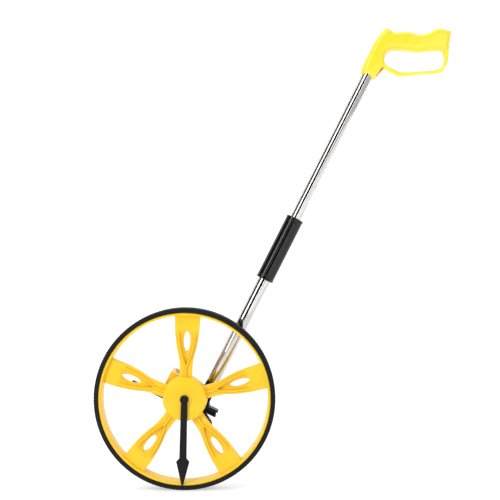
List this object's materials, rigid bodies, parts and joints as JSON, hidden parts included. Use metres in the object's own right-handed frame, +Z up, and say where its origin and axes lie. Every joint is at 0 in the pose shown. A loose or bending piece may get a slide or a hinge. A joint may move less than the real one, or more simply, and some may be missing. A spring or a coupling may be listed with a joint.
{
  "type": "measuring wheel",
  "caption": "Distance measuring wheel with a flared-spoke wheel, hub pointer, geared drum counter, folding stand, telescopic tube with a twist sleeve, and a pistol grip with a closed guard.",
  "frame": {"origin": "the point where the tyre meets the ground, under the axle, in the wheel's middle plane", "axes": "+Z up, +Y along the axle from the pointer's side to the counter's side, +X the way the tube leans"},
  "size_m": [0.6378, 0.0986, 0.8207],
  "materials": {
    "wheel_yellow": "moulded, semi-gloss",
    "tyre_rubber": "matt rubber",
    "grip_yellow": "moulded, glossy",
    "case_yellow": "moulded, semi-gloss",
    "black_plastic": "satin black",
    "black_gloss": "glossy black",
    "chrome": "polished",
    "steel": "zinc plated",
    "black_steel": "black powder coat",
    "gear_white": "moulded acetal",
    "drum_black": "printed drum",
    "drum_white": "printed drum",
    "foot_rubber": "matt rubber",
    "lens": "clear acrylic"
  },
  "bodies": {
    "frame": {"frame_bracket": "black_plastic", "axle": "steel", "axle_circlip": "steel", "axle_washer": "steel", "axle_nut": "steel", "bearing_spacer": "steel", "counter_housing": "case_yellow", "counter_cover": "case_yellow", "counter_window": "lens", "counter_screws": "steel", "counter_shaft": "steel", "idler_pin": "steel", "carry_shaft": "steel", "flange_screws": "steel", "stand_bolt": "black_steel", "stand_washer": "steel", "stand_nut": "steel", "lower_tube": "chrome", "tube_screw": "steel", "lock_collet": "gear_white"},
    "wheel": {"wheel": "wheel_yellow", "tyre": "tyre_rubber", "wheel_gear": "gear_white", "bearing_front": "steel", "bearing_rear": "steel"},
    "pointer": {"pointer": "black_plastic"},
    "idler": {"idler_gear": "gear_white"},
    "drum_1": {"digit_drum_1": "drum_white", "drum_gear": "gear_white"},
    "drum_2": {"digit_drum_2": "drum_black"},
    "drum_3": {"digit_drum_3": "drum_black"},
    "drum_4": {"digit_drum_4": "drum_black"},
    "drum_5": {"digit_drum_5": "drum_black"},
    "pinion_1": {"carry_pinion_1": "gear_white"},
    "pinion_2": {"carry_pinion_2": "gear_white"},
    "pinion_3": {"carry_pinion_3": "gear_white"},
    "pinion_4": {"carry_pinion_4": "gear_white"},
    "reset": {"reset_knob": "black_plastic"},
    "sleeve": {"lock_sleeve": "black_gloss"},
    "grip": {"upper_tube": "chrome", "tube_guide": "black_plastic", "grip_front": "grip_yellow", "grip_back": "grip_yellow", "grip_screws": "steel"},
    "stand": {"stand_leg": "black_steel", "stand_foot": "foot_rubber"}
  },
  "joints": [
    {"name": "wheel_spin", "type": "hinge", "parent": "frame", "child": "wheel", "pos_m": [0, 0, 0.15915], "axis": [0, 1, 0], "continuous": true},
    {"name": "pointer_swing", "type": "hinge", "parent": "frame", "child": "pointer", "pos_m": [0, 0, 0.15915], "axis": [0, 1, 0], "continuous": true},
    {"name": "idler_spin", "type": "hinge", "parent": "frame", "child": "idler", "pos_m": [-0.01655, 0.0177, 0.16624], "axis": [0, 1, 0], "continuous": true},
    {"name": "drum_1_turn", "type": "hinge", "parent": "frame", "child": "drum_1", "pos_m": [-0.01841, 0.0275, 0.18414], "axis": [0, 1, 0], "continuous": true},
    {"name": "drum_2_turn", "type": "hinge", "parent": "frame", "child": "drum_2", "pos_m": [-0.01841, 0.0349, 0.18414], "axis": [0, 1, 0], "continuous": true},
    {"name": "drum_3_turn", "type": "hinge", "parent": "frame", "child": "drum_3", "pos_m": [-0.01841, 0.0423, 0.18414], "axis": [0, 1, 0], "continuous": true},
    {"name": "drum_4_turn", "type": "hinge", "parent": "frame", "child": "drum_4", "pos_m": [-0.01841, 0.0497, 0.18414], "axis": [0, 1, 0], "continuous": true},
    {"name": "drum_5_turn", "type": "hinge", "parent": "frame", "child": "drum_5", "pos_m": [-0.01841, 0.0571, 0.18414], "axis": [0, 1, 0], "continuous": true},
    {"name": "pinion_1_turn", "type": "hinge", "parent": "frame", "child": "pinion_1", "pos_m": [-0.02774, 0.0327, 0.17538], "axis": [0, 1, 0], "continuous": true},
    {"name": "pinion_2_turn", "type": "hinge", "parent": "frame", "child": "pinion_2", "pos_m": [-0.02774, 0.0401, 0.17538], "axis": [0, 1, 0], "continuous": true},
    {"name": "pinion_3_turn", "type": "hinge", "parent": "frame", "child": "pinion_3", "pos_m": [-0.02774, 0.0475, 0.17538], "axis": [0, 1, 0], "continuous": true},
    {"name": "pinion_4_turn", "type": "hinge", "parent": "frame", "child": "pinion_4", "pos_m": [-0.02774, 0.0549, 0.17538], "axis": [0, 1, 0], "continuous": true},
    {"name": "reset_turn", "type": "hinge", "parent": "frame", "child": "reset", "pos_m": [-0.01841, 0.07, 0.18414], "axis": [0, 1, 0], "range_deg": [0, 324]},
    {"name": "sleeve_twist", "type": "hinge", "parent": "frame", "child": "sleeve", "pos_m": [0.17014, 0.04, 0.425], "axis": [0.4509, 0, 0.8926], "range_deg": [0, 90]},
    {"name": "tube_slide", "type": "slide", "parent": "frame", "child": "grip", "axis": [0.4509, 0, 0.8926], "range_m": [-0.165, 0]},
    {"name": "stand_swing", "type": "hinge", "parent": "frame", "child": "stand", "pos_m": [0.03512, 0.022, 0.1078], "axis": [0, 1, 0], "range_deg": [-126, 0]}
  ],
  "couplings": [
    {"joint": "idler_spin", "follows": "wheel_spin", "ratio": -2},
    {"joint": "drum_1_turn", "follows": "wheel_spin", "ratio": 1},
    {"joint": "drum_2_turn", "follows": "wheel_spin", "ratio": 0.1},
    {"joint": "drum_3_turn", "follows": "wheel_spin", "ratio": 0.01},
    {"joint": "drum_4_turn", "follows": "wheel_spin", "ratio": 0.001},
    {"joint": "drum_5_turn", "follows": "wheel_spin", "ratio": 0.0001},
    {"joint": "pinion_1_turn", "follows": "wheel_spin", "ratio": -0.3},
    {"joint": "pinion_2_turn", "follows": "wheel_spin", "ratio": -0.03},
    {"joint": "pinion_3_turn", "follows": "wheel_spin", "ratio": -0.003},
    {"joint": "pinion_4_turn", "follows": "wheel_spin", "ratio": -0.0003}
  ]
}
